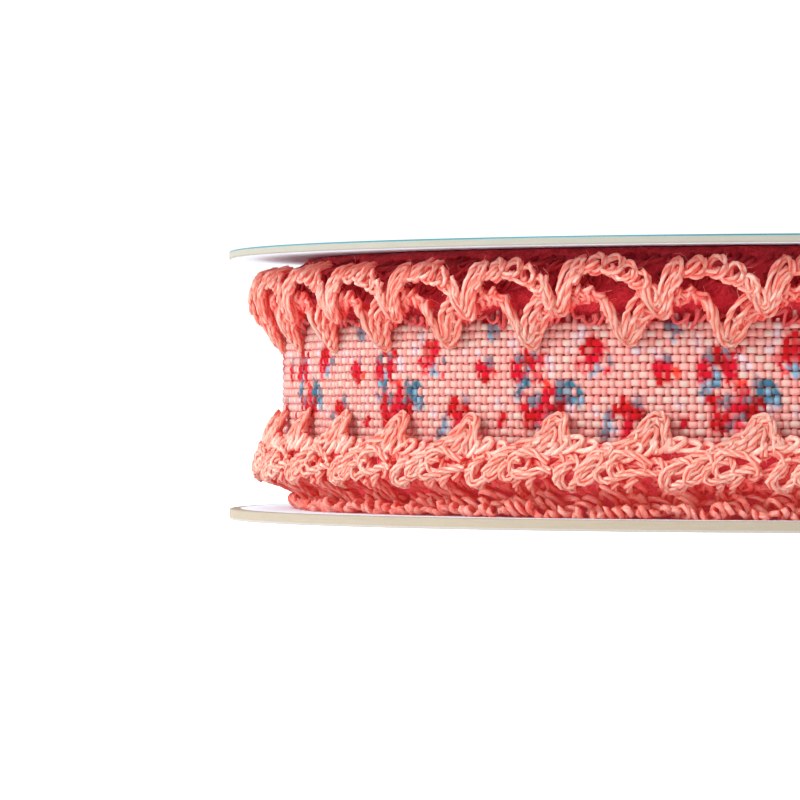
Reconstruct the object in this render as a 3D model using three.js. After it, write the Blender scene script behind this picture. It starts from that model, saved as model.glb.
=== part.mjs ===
// A crochet lace ribbon wound on a round card spool, standing on its lower disc.
// The origin is the centre of the lower disc's underside, +Z runs along the spool's axis.
// Sizes are in millimetres.

import * as THREE from 'three';
import { mergeVertices } from 'three/addons/utils/BufferGeometryUtils.js';

// Driving dimensions of the spool
const discRadius = 60;
const lowerCardThickness = 0.95;
const upperCardThickness = 0.7;
const cardEdgeRound = 0.15;
const gapBetweenDiscs = 22.2;
const discSides = 112;

// Driving dimensions of the wound tape, heights measured from the lower disc's inner face
const tapeRadius = 55.4;
const tapeLow = 6;
const tapeHigh = 16;
const tapeEdgeRound = 0.35;
const tapeSides = 112;

// Clearance between neighbouring pieces
const clearance = 0.3;

// Driving dimensions of the two lace edgings, the first points in degrees from the front
const scallopCount = 39;
const upperFirstPoint = 4.6;
const lowerFirstPoint = 7.4;
const pointThickness = 0.6;
const leastLap = 0.3;
const hollowStep = 0.25;
const crestRound = 0.5;

// How far out each edging swells from the tape, from which height and over which span
const upperFlare = { reach: 58.4, from: 13.2, span: 11, fullness: 1.3 };
const lowerFlare = { reach: 58, from: 9.5, span: -11.4, fullness: 0.8 };

// The turns further in, seen past the outermost scallops and meeting the discs
const innerTurnsRadius = 55.1;
const innerTurnsAtDisc = 53.4;
const innerTurnsStep = 0.2;

// How much the scallops differ from one to the next in height, place and swell
const unevenHeight = 0.3;
const unevenPoint = 0.18;
const unevenPlace = 0.05;
const unevenSwell = 0.35;

// Upper edging, one row for each cut through a scallop, heights from the lower disc's inner face.
// tip is the end of the lace over the tape, netTop the top of the inner net, hollow the depth of
// the open place under the arch, archLow the arch's underside and crest its top.
const upperSections = [
  { at: 0.0, tip: 13.9, netTop: 16.6, hollow: 1.9, archLow: 18.4, crest: 20.7 },
  { at: 0.14, tip: 14.7, netTop: 17.0, hollow: 0.4, archLow: 17.6, crest: 19.6 },
  { at: 0.28, tip: 15.9, netTop: 16.9, hollow: 0.0, archLow: 17.2, crest: 18.4 },
  { at: 0.36, tip: 16.2, netTop: 16.7, hollow: 0.0, archLow: 17.0, crest: 17.6 },
  { at: 0.46, tip: 16.4, netTop: 17.6, hollow: 0.3, archLow: 18.2, crest: 20.7 },
  { at: 0.68, tip: 16.3, netTop: 17.9, hollow: 1.6, archLow: 19.5, crest: 21.3 },
  { at: 0.87, tip: 15.1, netTop: 16.9, hollow: 2.2, archLow: 19.3, crest: 21.2 },
];

// Lower edging, one row for each cut through a scallop.
// tip is the end over the tape, netLow the underside of the inner net, hollow the depth of the
// fold below it, archHigh the top of the crumpled arch and hem its lowest edge.
const lowerSections = [
  { at: 0.0, tip: 8.9, netLow: 5.4, hollow: 0.5, archHigh: 4.6, hem: 2.2 },
  { at: 0.12, tip: 7.9, netLow: 5.3, hollow: 0.9, archHigh: 4.4, hem: 2.0 },
  { at: 0.26, tip: 6.1, netLow: 5.0, hollow: 0.5, archHigh: 4.4, hem: 1.7 },
  { at: 0.5, tip: 5.7, netLow: 4.9, hollow: 0.2, archHigh: 4.3, hem: 1.5 },
  { at: 0.72, tip: 6.1, netLow: 4.7, hollow: 1.1, archHigh: 3.9, hem: 1.9 },
  { at: 0.88, tip: 7.7, netLow: 5.2, hollow: 0.9, archHigh: 4.3, hem: 2.3 },
];

// How the pieces are finished
const finishes = {
  tape: { color: 0xf3c9c3, roughness: 0.9, metalness: 0 },
  lace: { color: 0xee8570, roughness: 0.95, metalness: 0 },
  printedCard: { color: 0x55a0a5, roughness: 0.45, metalness: 0 },
  plainCard: { color: 0xe6e2dc, roughness: 0.8, metalness: 0 },
};

// A gentle, repeatable unevenness from one scallop to the next, between -1 and 1
function uneven(scallop, salt) {
  return 0.6 * Math.sin(2.4 * scallop + salt) + 0.4 * Math.sin(5.1 * scallop + 2.7 * salt);
}

// The radius of an edging's outer side at a height, swelling out from the tape and back in
function flareRadius(flare, height) {
  const share = Math.sin(Math.PI * (height - flare.from) / flare.span);
  return tapeRadius + (flare.reach - tapeRadius) * Math.pow(share, flare.fullness);
}

// The outline of one cut through the upper edging, from the axis out, up and back to the axis
function upperOutline(section, scallop) {
  const lap = tapeRadius + clearance;
  const floor = tapeHigh + clearance;
  const ceiling = gapBetweenDiscs - clearance;
  const lift = unevenHeight * uneven(scallop, 1);
  const swell = unevenSwell * uneven(scallop, 4);
  const tip = Math.min(section.tip + unevenPoint * uneven(scallop, 1), floor - leastLap);
  const netTop = Math.max(section.netTop + lift, floor + hollowStep);
  const archLow = section.archLow + lift;
  const crest = Math.min(section.crest + lift, ceiling - 2 * clearance);
  const outer = (height) => flareRadius(upperFlare, height) + swell;
  return [
    [0, floor],
    [lap, floor],
    [lap, tip],
    [Math.max(flareRadius(upperFlare, tip), lap + pointThickness), tip],
    [outer(netTop), netTop],
    [outer(netTop) - section.hollow, netTop + hollowStep],
    [outer(archLow) - section.hollow, archLow],
    [outer(archLow), archLow + hollowStep],
    [outer(crest - crestRound), crest - crestRound],
    [outer(crest) - 2 * crestRound, crest],
    [innerTurnsRadius, crest + innerTurnsStep],
    [innerTurnsAtDisc, ceiling],
    [0, ceiling],
  ];
}

// The outline of one cut through the lower edging, from the axis out, up and back to the axis
function lowerOutline(section, scallop) {
  const lap = tapeRadius + clearance;
  const floor = clearance;
  const ceiling = tapeLow - clearance;
  const lift = unevenHeight * uneven(scallop, 2);
  const swell = unevenSwell * uneven(scallop, 7);
  const tip = Math.max(section.tip + unevenPoint * uneven(scallop, 2), ceiling + leastLap);
  const netLow = Math.min(section.netLow + lift, ceiling - hollowStep);
  const archHigh = Math.min(section.archHigh + lift, netLow - 2 * hollowStep);
  const hem = section.hem + 0.5 * lift;
  const outer = (height) => flareRadius(lowerFlare, height) + swell;
  return [
    [0, floor],
    [innerTurnsAtDisc, floor],
    [innerTurnsRadius, hem - 2 * innerTurnsStep],
    [outer(hem) - 2 * crestRound, hem],
    [outer(hem + crestRound), hem + crestRound],
    [outer(archHigh), archHigh],
    [outer(archHigh) - section.hollow, archHigh + hollowStep],
    [outer(netLow), netLow],
    [flareRadius(lowerFlare, ceiling), ceiling],
    [Math.max(flareRadius(lowerFlare, tip), lap + pointThickness), tip],
    [lap, tip],
    [lap, ceiling],
    [0, ceiling],
  ];
}

// A closed ring body from the outlines of all cuts, each outline starting and ending on the axis
function scallopedBody(sections, outlineOf, firstPoint) {
  const pitch = 2 * Math.PI / scallopCount;
  const start = THREE.MathUtils.degToRad(firstPoint - 90);
  const columns = [];
  for (let scallop = 0; scallop < scallopCount; scallop += 1) {
    for (const section of sections) {
      const wander = unevenPlace * uneven(scallop, 3) * Math.sin(Math.PI * section.at);
      const angle = start + pitch * (scallop + section.at + wander);
      const outline = outlineOf(section, scallop);
      columns.push(outline.map(([radius, height]) => [
        radius * Math.cos(angle),
        radius * Math.sin(angle),
        height + lowerCardThickness,
      ]));
    }
  }
  const triangles = [];
  const rows = columns[0].length;
  for (let column = 0; column < columns.length; column += 1) {
    const here = columns[column];
    const next = columns[(column + 1) % columns.length];
    triangles.push(here[0], next[1], here[1]);
    for (let row = 1; row < rows - 2; row += 1) {
      triangles.push(here[row], next[row + 1], here[row + 1]);
      triangles.push(here[row], next[row], next[row + 1]);
    }
    triangles.push(here[rows - 2], next[rows - 2], here[rows - 1]);
  }
  return closedGeometry(triangles.flat());
}

// A mesh whose shared corners are merged into one closed skin
function closedGeometry(coordinates) {
  const loose = new THREE.BufferGeometry();
  loose.setAttribute('position', new THREE.Float32BufferAttribute(coordinates, 3));
  return mergeVertices(loose, 1e-5);
}

// A turned disc with eased edges, its base at the given height
function turnedDisc(radius, thickness, edgeRound, base, sides) {
  const profile = [
    new THREE.Vector2(0, 0),
    new THREE.Vector2(radius - edgeRound, 0),
    new THREE.Vector2(radius, edgeRound),
    new THREE.Vector2(radius, thickness - edgeRound),
    new THREE.Vector2(radius - edgeRound, thickness),
    new THREE.Vector2(0, thickness),
  ];
  const disc = new THREE.LatheGeometry(profile, sides);
  disc.rotateX(Math.PI / 2);
  disc.translate(0, 0, base);
  return disc;
}

// One named piece with its own finish
function piece(name, geometry, finish) {
  const mesh = new THREE.Mesh(geometry, new THREE.MeshStandardMaterial(finish));
  mesh.name = name;
  return mesh;
}

const spool = new THREE.Group();
const upperDiscBase = lowerCardThickness + gapBetweenDiscs;
const tapeWidth = tapeHigh - tapeLow;

spool.add(piece(
  'flange_lower',
  turnedDisc(discRadius, lowerCardThickness, cardEdgeRound, 0, discSides),
  finishes.plainCard,
));
spool.add(piece(
  'flange_upper',
  turnedDisc(discRadius, upperCardThickness, cardEdgeRound, upperDiscBase, discSides),
  finishes.printedCard,
));
spool.add(piece(
  'tape_roll',
  turnedDisc(tapeRadius, tapeWidth, tapeEdgeRound, lowerCardThickness + tapeLow, tapeSides),
  finishes.tape,
));
spool.add(piece(
  'lace_upper',
  scallopedBody(upperSections, upperOutline, upperFirstPoint),
  finishes.lace,
));
spool.add(piece(
  'lace_lower',
  scallopedBody(lowerSections, lowerOutline, lowerFirstPoint),
  finishes.lace,
));

export default spool;
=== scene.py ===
# A crochet lace ribbon wound on a round card spool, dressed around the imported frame.
# Working sizes are in millimetres, heights are measured from the lower disc's inner face.
import math
import random

import bpy
import numpy as np
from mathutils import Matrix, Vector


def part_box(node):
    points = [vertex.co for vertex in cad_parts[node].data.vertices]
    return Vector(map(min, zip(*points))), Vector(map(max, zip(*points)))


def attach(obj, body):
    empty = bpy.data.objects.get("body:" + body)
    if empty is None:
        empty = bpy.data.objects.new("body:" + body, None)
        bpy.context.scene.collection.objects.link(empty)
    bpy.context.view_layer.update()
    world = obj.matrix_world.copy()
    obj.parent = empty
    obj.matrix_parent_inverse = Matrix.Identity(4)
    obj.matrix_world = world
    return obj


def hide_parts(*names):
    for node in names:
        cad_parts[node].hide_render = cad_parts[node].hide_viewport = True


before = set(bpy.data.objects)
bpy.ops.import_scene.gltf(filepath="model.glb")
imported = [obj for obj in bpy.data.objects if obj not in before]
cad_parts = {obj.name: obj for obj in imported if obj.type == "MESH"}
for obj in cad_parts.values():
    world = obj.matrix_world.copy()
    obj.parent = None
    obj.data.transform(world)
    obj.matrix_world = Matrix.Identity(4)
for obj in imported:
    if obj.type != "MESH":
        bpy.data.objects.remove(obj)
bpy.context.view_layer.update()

mm = 0.001
fullTurn = 2 * math.pi
anyTurn = 6.28  # the range that random turns are drawn from
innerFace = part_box("flange_lower")[1].z / mm  # the lower disc's inner face
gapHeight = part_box("flange_upper")[0].z / mm - innerFace
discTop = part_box("flange_upper")[1].z / mm
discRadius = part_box("flange_lower")[1].x / mm
print("frame loaded, the gap is %.2f mm high" % gapHeight)


# small helpers for nodes and meshes

def feed(tree, source, node, socket):  # links a node or a socket to an input, or sets the input's value
    if isinstance(source, bpy.types.Node):
        source = source.outputs[0]
    if isinstance(source, bpy.types.NodeSocket):
        tree.links.new(source, node.inputs[socket])
    else:
        node.inputs[socket].default_value = source


def feedAll(tree, node, sources):
    for socket, source in dict(sources).items():
        feed(tree, source, node, socket)


def addNode(tree, kind, sources=(), **settings):
    node = tree.nodes.new(kind)
    for name, value in settings.items():
        setattr(node, name, value)
    feedAll(tree, node, sources)
    return node


def maths(tree, operation, *values):
    return addNode(tree, "ShaderNodeMath", enumerate(values), operation=operation).outputs[0]


def plus(tree, first, second):
    return maths(tree, "ADD", first, second)


def minus(tree, first, second):
    return maths(tree, "SUBTRACT", first, second)


def times(tree, first, second):
    return maths(tree, "MULTIPLY", first, second)


def divided(tree, first, second):
    return maths(tree, "DIVIDE", first, second)


def vectorMaths(tree, operation, *values):
    node = addNode(tree, "ShaderNodeVectorMath", enumerate(values), operation=operation)
    return node.outputs["Value"] if operation in ("LENGTH", "DISTANCE") else node.outputs[0]


def scaled(tree, vector, factor):
    sources = {0: vector, "Scale": factor}
    return addNode(tree, "ShaderNodeVectorMath", sources, operation="SCALE").outputs[0]


def combined(tree, x, y, z=0.0):
    return addNode(tree, "ShaderNodeCombineXYZ", {"X": x, "Y": y, "Z": z})


def mixed(tree, factor, first, second, blend="MIX"):
    sources = {"Factor": factor, 6: first, 7: second}
    return addNode(tree, "ShaderNodeMix", sources, data_type="RGBA", blend_type=blend).outputs[2]


def ranged(tree, value, low, high, newLow=0.0, newHigh=1.0):
    sources = enumerate((value, low, high, newLow, newHigh))
    return addNode(tree, "ShaderNodeMapRange", sources, clamp=True).outputs[0]


def noise(tree, scale, **others):
    return addNode(tree, "ShaderNodeTexNoise", {"Scale": scale, **others}).outputs[0]


def objectPlace(tree):
    return addNode(tree, "ShaderNodeTexCoord").outputs["Object"]


def attribute(tree, name, output="Fac"):
    return addNode(tree, "ShaderNodeAttribute", attribute_name=name).outputs[output]


def stored(tree, geometry, name, value, kind="FLOAT"):
    sources = {"Geometry": geometry, "Name": name, "Value": value}
    return addNode(tree, "GeometryNodeStoreNamedAttribute", sources, data_type=kind, domain="POINT")


def named(tree, name, kind="FLOAT"):
    node = addNode(tree, "GeometryNodeInputNamedAttribute", {"Name": name}, data_type=kind)
    return node.outputs["Attribute"]


def newGroup(name, kind, inputs, outputs):
    tree = bpy.data.node_groups.new(name, kind)
    for way, sockets in (("INPUT", inputs), ("OUTPUT", outputs)):
        for label, socketKind in sockets.items():
            tree.interface.new_socket(label, in_out=way, socket_type="NodeSocket" + socketKind)
    return tree, addNode(tree, "NodeGroupInput").outputs, addNode(tree, "NodeGroupOutput")


def newEffect(name, inputs, outputs):  # a shader node group that takes and gives numbers
    return newGroup(name, "ShaderNodeTree", dict.fromkeys(inputs, "Float"), dict.fromkeys(outputs, "Float"))


def newTree(name, measures, counts):
    inputs = {"Geometry": "Geometry", **dict.fromkeys(measures, "Float"), **dict.fromkeys(counts, "Int"),
              "Material": "Material"}
    return newGroup(name, "GeometryNodeTree", inputs, {"Geometry": "Geometry"})


def closeTree(tree, geometry, given, leave):
    smooth = addNode(tree, "GeometryNodeSetShadeSmooth", {"Geometry": geometry})
    whole = addNode(tree, "GeometryNodeRealizeInstances", {"Geometry": smooth})
    finish = addNode(tree, "GeometryNodeSetMaterial", {"Geometry": whole, "Material": given["Material"]})
    feed(tree, finish, leave, "Geometry")
    return tree


def fromScreen(red, green, blue):  # a colour from screen values, 0 to 255
    def linear(value):
        value /= 255
        return value / 12.92 if value <= 0.04045 else ((value + 0.055) / 1.055) ** 2.4
    return (linear(red), linear(green), linear(blue), 1.0)


def newObject(name, data):
    piece = bpy.data.objects.new(name, data)
    bpy.context.scene.collection.objects.link(piece)
    return piece


def meshFrom(name, points, faces=(), edges=()):
    mesh = bpy.data.meshes.new(name)
    mesh.from_pydata([tuple(p) for p in points], [tuple(e) for e in edges], [tuple(f) for f in faces])
    mesh.update()
    return mesh


def shaped(name, carrier, tree, values):  # runs a node tree on a carrier and keeps a plain mesh piece
    modifier = carrier.modifiers.new("nodes", "NODES")
    modifier.node_group = tree
    for item in tree.interface.items_tree:
        if item.item_type == "SOCKET" and item.in_out == "INPUT" and item.name in values:
            modifier[item.identifier] = values[item.name]
    depsgraph = bpy.context.evaluated_depsgraph_get()
    mesh = bpy.data.meshes.new_from_object(carrier.evaluated_get(depsgraph))
    mesh.name = name
    carrier.modifiers.clear()
    bpy.data.objects.remove(carrier)
    mesh.calc_loop_triangles()
    print("%s: %d triangles" % (name, len(mesh.loop_triangles)))
    return newObject(name, mesh)


# finishes

cottonSizes = {"broadDetail": 2.0, "fineDetail": 3.0, "finer": 4.0, "broadShare": 0.6}
grainSizes = {"layering": (1.0, 1.0, 14.0), "layerDetail": 3.0, "speckDetail": 2.0, "finer": 6.0,
              "low": 0.3, "high": 0.7, "darkest": 0.93, "lightest": 1.04}
spunSizes = {"detail": 3.0, "roughness": 0.6, "low": 0.3, "high": 0.7}


def cottonGroup():  # the mottle and fine fibres of cotton
    tree, given, leave = newEffect("cottonFibre", ("Scale", "Contrast"), ("Tone", "Height"))
    place = objectPlace(tree)
    broad = noise(tree, given["Scale"], Vector=place, Detail=cottonSizes["broadDetail"])
    fine = noise(tree, times(tree, given["Scale"], cottonSizes["finer"]), Vector=place,
                 Detail=cottonSizes["fineDetail"])
    height = plus(tree, times(tree, broad, cottonSizes["broadShare"]),
                  times(tree, fine, 1 - cottonSizes["broadShare"]))
    swing = times(tree, minus(tree, height, 0.5), given["Contrast"])
    feedAll(tree, leave, {"Tone": plus(tree, 1.0, swing), "Height": height})
    return tree


def cardGroup():  # the grain of pressed card
    tree, given, leave = newEffect("cardGrain", ("Scale", "Layers"), ("Tone", "Height"))
    place = objectPlace(tree)
    flat = addNode(tree, "ShaderNodeMapping", {"Vector": place, "Scale": grainSizes["layering"]})
    layered = noise(tree, given["Scale"], Vector=flat, Detail=grainSizes["layerDetail"])
    speck = noise(tree, times(tree, given["Scale"], grainSizes["finer"]), Vector=place,
                  Detail=grainSizes["speckDetail"])
    height = plus(tree, times(tree, layered, given["Layers"]),
                  times(tree, speck, minus(tree, 1.0, given["Layers"])))
    tone = ranged(tree, height, grainSizes["low"], grainSizes["high"], grainSizes["darkest"],
                  grainSizes["lightest"])
    feedAll(tree, leave, {"Tone": tone, "Height": height})
    return tree


def spunGroup():  # fine fibres running along a yarn, twisted round it
    tree, given, leave = newEffect("spunFibre", ("Around", "Along", "Twist"), ("Streak",))
    length = attribute(tree, "along")
    across = plus(tree, times(tree, attribute(tree, "around"), given["Around"]),
                  times(tree, length, given["Twist"]))
    spot = combined(tree, across, times(tree, length, given["Along"]))
    streaks = noise(tree, 1.0, Vector=spot, Detail=spunSizes["detail"], Roughness=spunSizes["roughness"])
    feed(tree, ranged(tree, streaks, spunSizes["low"], spunSizes["high"]), leave, "Streak")
    return tree


cottonFibre = cottonGroup()
cardGrain = cardGroup()
spunFibre = spunGroup()


def newMaterial(name):
    material = bpy.data.materials.new(name)
    material.use_nodes = True
    return material, material.node_tree, material.node_tree.nodes["Principled BSDF"]


def placeGroup(tree, group, **values):
    return addNode(tree, "ShaderNodeGroup", values, node_tree=group)


def bumped(tree, height, distance, strength):
    return addNode(tree, "ShaderNodeBump", {"Strength": strength, "Distance": distance, "Height": height})


# the yarns' colours as screen values, how much light they let through and how strongly they glow, the glow
# being painted light
# the pale colour is a painted highlight on each ply's outer side, the groove colour painted shade where the
# plies meet, the inside colour painted shade on yarn lying further in
yarnLook = {
    "pale": (233, 240, 224), "body": (227, 191, 170), "grooveShade": (228, 114, 98), "inside": (240, 60, 70),
    "through": (255, 82, 70), "sheer": 0.42, "glow": 0.21, "bump": 0.0002,
}
# the lower turns' colours, redder than the yarn's own as painted shade under the overhanging lace
lowLook = {
    "pale": (255, 214, 196), "body": (255, 150, 134), "grooveShade": (240, 74, 72), "inside": (230, 46, 60),
    "through": (255, 84, 76), "sheer": 0.42, "glow": 0.15, "bump": 0.0002,
}
shadeLook = {
    "pale": (232, 84, 90), "body": (210, 48, 60), "grooveShade": (176, 22, 38), "inside": (180, 20, 38),
    "through": (214, 40, 50), "sheer": 0.4, "glow": 0.02, "bump": 0.00015,
}
# the tape edge's loops, darker and redder as painted shade under the lace
edgeLook = {
    "pale": (240, 132, 130), "body": (220, 84, 90), "grooveShade": (190, 36, 50), "inside": (200, 40, 56),
    "through": (255, 110, 104), "sheer": 0.42, "glow": 0.04, "bump": 0.00015,
}
yarnFinish = {
    "mottle": 4200.0, "contrast": 0.5, "around": 5.0, "along": 900.0, "twist": 1900.0,
    "streakLeast": 0.66, "streakMost": 1.25,
    "patch": 300.0, "patchLow": 0.35, "patchHigh": 0.65, "patchLeast": 0.9, "patchMost": 1.06,
    "grooveShadeAt": 0.35, "bodyAt": 0.72, "paleAt": 1.05,
    "roughness": 0.9, "specular": 0.2, "fluff": 0.5, "bumpStrength": 0.8,
}


def yarnMaterial(name, look):
    material, tree, shader = newMaterial(name)
    size = yarnFinish
    pale, body, grooveShade, inside, light = (
        fromScreen(*look[part]) for part in ("pale", "body", "grooveShade", "inside", "through"))
    fibre = placeGroup(tree, cottonFibre, Scale=size["mottle"], Contrast=size["contrast"])
    spun = placeGroup(tree, spunFibre, Around=size["around"], Along=size["along"], Twist=size["twist"])
    streak = ranged(tree, spun, 0.0, 1.0, size["streakLeast"], size["streakMost"])
    broad = noise(tree, size["patch"], Vector=objectPlace(tree))
    patch = ranged(tree, broad, size["patchLow"], size["patchHigh"], size["patchLeast"], size["patchMost"])
    # painted highlight and shade: the colour runs from the groove colour where the plies meet to pale on
    # each ply's outer side
    ridgeShading = times(tree, attribute(tree, "ridgeShading"), fibre.outputs["Tone"])
    ridgeShading = times(tree, times(tree, ridgeShading, streak), patch)
    low = mixed(tree, ranged(tree, ridgeShading, size["grooveShadeAt"], size["bodyAt"]), grooveShade, body)
    coat = mixed(tree, ranged(tree, ridgeShading, size["bodyAt"], size["paleAt"]), low, pale)
    relief = plus(tree, spun, times(tree, fibre.outputs["Height"], size["fluff"]))
    # painted shade and light: yarn lying deeper turns towards the inside colour, and the yarn glows with
    # its through colour
    feedAll(tree, shader, {
        "Base Color": mixed(tree, attribute(tree, "deep"), coat, inside),
        "Roughness": size["roughness"], "Specular IOR Level": size["specular"],
        "Emission Color": light, "Emission Strength": look["glow"],
        "Normal": bumped(tree, relief, look["bump"], size["bumpStrength"])})
    through = addNode(tree, "ShaderNodeBsdfTranslucent", {"Color": light})
    both = addNode(tree, "ShaderNodeMixShader", {0: look["sheer"], 1: shader, 2: through})
    feed(tree, both, tree.nodes["Material Output"], "Surface")
    return material


# the threads glow with the through colour, painted light that reddens their shadows
threadFinish = {
    "mottle": 4200.0, "contrast": 0.35, "roughness": 0.9, "specular": 0.12, "through": (255, 96, 100),
    "glow": 0.05, "bump": 0.00005, "bumpStrength": 0.7,
}


def threadMaterial(name, grooveShade):
    material, tree, shader = newMaterial(name)
    size = threadFinish
    fibre = placeGroup(tree, cottonFibre, Scale=size["mottle"], Contrast=size["contrast"])
    dye = attribute(tree, "print", "Color")
    # painted shade: where a thread dives under its neighbour it darkens towards its groove colour
    low = mixed(tree, 1.0, dye, fromScreen(*grooveShade), "MULTIPLY")
    shaded = mixed(tree, attribute(tree, "crownShading"), low, dye)
    feedAll(tree, shader, {
        "Base Color": mixed(tree, 1.0, shaded, fibre.outputs["Tone"], "MULTIPLY"),
        "Roughness": size["roughness"], "Specular IOR Level": size["specular"],
        "Emission Color": fromScreen(*size["through"]), "Emission Strength": size["glow"],
        "Normal": bumped(tree, fibre.outputs["Height"], size["bump"], size["bumpStrength"])})
    return material


backingFinish = {"contrast": 1.0, "low": 0.35, "high": 0.65, "roughness": 0.95, "bumpStrength": 0.9}


def backingMaterial(name, light, dark, scale, relief, glow):
    material, tree, shader = newMaterial(name)
    size = backingFinish
    fibre = placeGroup(tree, cottonFibre, Scale=scale, Contrast=size["contrast"])
    mottle = ranged(tree, fibre.outputs["Height"], size["low"], size["high"])
    # painted light: the surface also glows with its light colour
    feedAll(tree, shader, {
        "Base Color": mixed(tree, mottle, fromScreen(*dark), fromScreen(*light)),
        "Roughness": size["roughness"], "Emission Color": fromScreen(*light), "Emission Strength": glow,
        "Normal": bumped(tree, fibre.outputs["Height"], relief, size["bumpStrength"])})
    return material


cardFinish = {"bump": 0.00003, "bumpStrength": 0.5}


def cardMaterial(name, colour, roughness, scale, layers):
    material, tree, shader = newMaterial(name)
    grain = placeGroup(tree, cardGrain, Scale=scale, Layers=layers)
    feedAll(tree, shader, {
        "Base Color": mixed(tree, 1.0, fromScreen(*colour), grain.outputs["Tone"], "MULTIPLY"),
        "Roughness": roughness,
        "Normal": bumped(tree, grain.outputs["Height"], cardFinish["bump"], cardFinish["bumpStrength"])})
    return material


yarnCotton = yarnMaterial("crochetCotton", yarnLook)
shadeCotton = yarnMaterial("shadedCotton", shadeLook)
lowCotton = yarnMaterial("lowerTurnsShadedCotton", lowLook)
edgeCotton = yarnMaterial("tapeEdgeCotton", edgeLook)
# each thread's groove colour is painted shade where it dives under the next thread
warpCotton = threadMaterial("printedWarp", (240, 156, 148))
weftCotton = threadMaterial("printedWeft", (210, 84, 88))
# light and dark colour, mottle scale, relief in metres and glow; the dark crimson colours are painted shade
# on the turns further in and behind the weave, and the glow is painted light
tapeShadowSheet = backingMaterial("tapeShadow", (190, 14, 34), (150, 4, 20), 1800.0, 0.0002, 0.32)
upperTurnsShadedCotton = backingMaterial("upperTurns", (222, 50, 64), (172, 14, 32), 900.0, 0.0006, 0.05)
lowerTurnsShadedCotton = backingMaterial("lowerTurns", (226, 74, 84), (190, 24, 44), 900.0, 0.0006, 0.2)
# colour, roughness, grain scale and how far the grain lies in layers
upperRim = cardMaterial("cutUpperCard", (146, 144, 133), 0.85, 420.0, 0.75)
lowerRim = cardMaterial("cutLowerCard", (148, 139, 122), 0.85, 420.0, 0.75)
faceCard = cardMaterial("whiteLinedCard", (214, 234, 245), 0.7, 900.0, 0.2)
greyCard = cardMaterial("greyLinedCard", (160, 155, 150), 0.75, 900.0, 0.2)
tealCard = cardMaterial("printedTeal", (12, 116, 128), 0.4, 700.0, 0.2)
print("finishes made")


# the two card discs

# bare is how far the lower disc's cut-edge colour, painted shade, reaches in over its inner face
cardSizes = {
    "segments": 288, "reach": 0.15, "middleShare": 0.5, "bare": 1.0, "leadIn": 0.35, "edgeRound": 0.14,
    "cornerShare": 0.3, "belt": 0.19,
}


def cardDisc(name, base, thickness, finishes):
    # each finish comes with how many bands of the profile it covers, from below round to the top
    radius = discRadius + cardSizes["reach"]
    curve = cardSizes["edgeRound"]
    corner = cardSizes["cornerShare"] * curve
    rows = [(0.0, 0.0), (radius * cardSizes["middleShare"], 0.0), (radius - cardSizes["bare"], 0.0),
            (radius - cardSizes["leadIn"], 0.0), (radius - curve, 0.0), (radius - corner, corner),
            (radius, curve), (radius, cardSizes["belt"])]
    profile = rows + [(r, thickness - z) for r, z in reversed(rows)]
    count = cardSizes["segments"]
    points = [(0.0, 0.0, base)]
    for r, z in profile[1:-1]:
        for step in range(count):
            turn = fullTurn * step / count
            points.append((r * math.cos(turn), r * math.sin(turn), base + z))
    points.append((0.0, 0.0, base + thickness))
    bands = [slot for slot, (_, many) in enumerate(finishes) for _ in range(many)]
    faces = []
    slots = []
    for band, slot in enumerate(bands):
        low = 1 + (band - 1) * count
        high = low + count
        for step in range(count):
            after = (step + 1) % count
            if band == 0:
                faces.append((0, 1 + after, 1 + step))
            elif band == len(bands) - 1:
                faces.append((low + step, low + after, high))
            else:
                faces.append((low + step, low + after, high + after, high + step))
            slots.append(slot)
    mesh = meshFrom(name, [(x * mm, y * mm, z * mm) for x, y, z in points], faces)
    for finish, _ in finishes:
        mesh.materials.append(finish)
    for face, slot in zip(mesh.polygons, slots):
        face.material_index = slot
        face.use_smooth = True
    return newObject(name, mesh)


# the outer lining wraps over the turn of the edge, and the cut edge shows up to the inner lining; on the
# lower disc its colour runs on over the inner face's outer millimetre as painted shade
lowerCard = cardDisc("lowerCard", 0.0, innerFace, [(greyCard, 7), (lowerRim, 6), (faceCard, 2)])
upperCard = cardDisc("upperCard", innerFace + gapHeight, discTop - innerFace - gapHeight,
                     [(faceCard, 4), (upperRim, 5), (tealCard, 6)])
print("card discs made")


# places round the spool

# phases in degrees, ownShare is how much of its unevenness a scallop doesn't take from its neighbour
layout = {"scallops": 39, "upperPhase": 7.89, "lowerPhase": 7.42, "netRadius": 57.0, "ownShare": 0.6}
pitch = fullTurn / layout["scallops"] * layout["netRadius"]
roundLength = fullTurn * layout["netRadius"]
# how far an edging swells, from which height and over which span, and where it tucks in at the disc
upperFlare = {"reach": 58.4, "from": 13.2, "span": 11.0, "fullness": 1.3, "tuckAt": 20.6, "tuckTo": 1.0}
lowerFlare = {"reach": 58.0, "from": 9.5, "span": -11.4, "fullness": 0.8, "tuckAt": 2.8, "tuckTo": -1.0}
tuck = {"deep": 3.3, "span": 0.9, "most": 3.0, "power": 1.5}
tapeSizes = {
    "radius": 55.4, "middle": 55.1, "low": 6.0, "high": 16.0, "rows": 15, "columns": 488,
    "warpWave": 0.06, "warpWide": 0.315, "warpFront": 0.23, "warpThick": 0.2, "warpFlat": 0.28,
    "weftWave": 0.12, "weftWide": 0.315, "weftFront": 0.17, "weftThick": 0.16, "weftFlat": 0.12,
    "tuft": 1.3, "leastTuft": 0.15, "endTaper": 0.4, "crownFrom": -0.6, "seed": 9,
}
lineSizes = {"smoothSteps": 14, "stitchStep": 0.11, "tightBend": 1.4, "straightWeight": 0.5}


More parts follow.
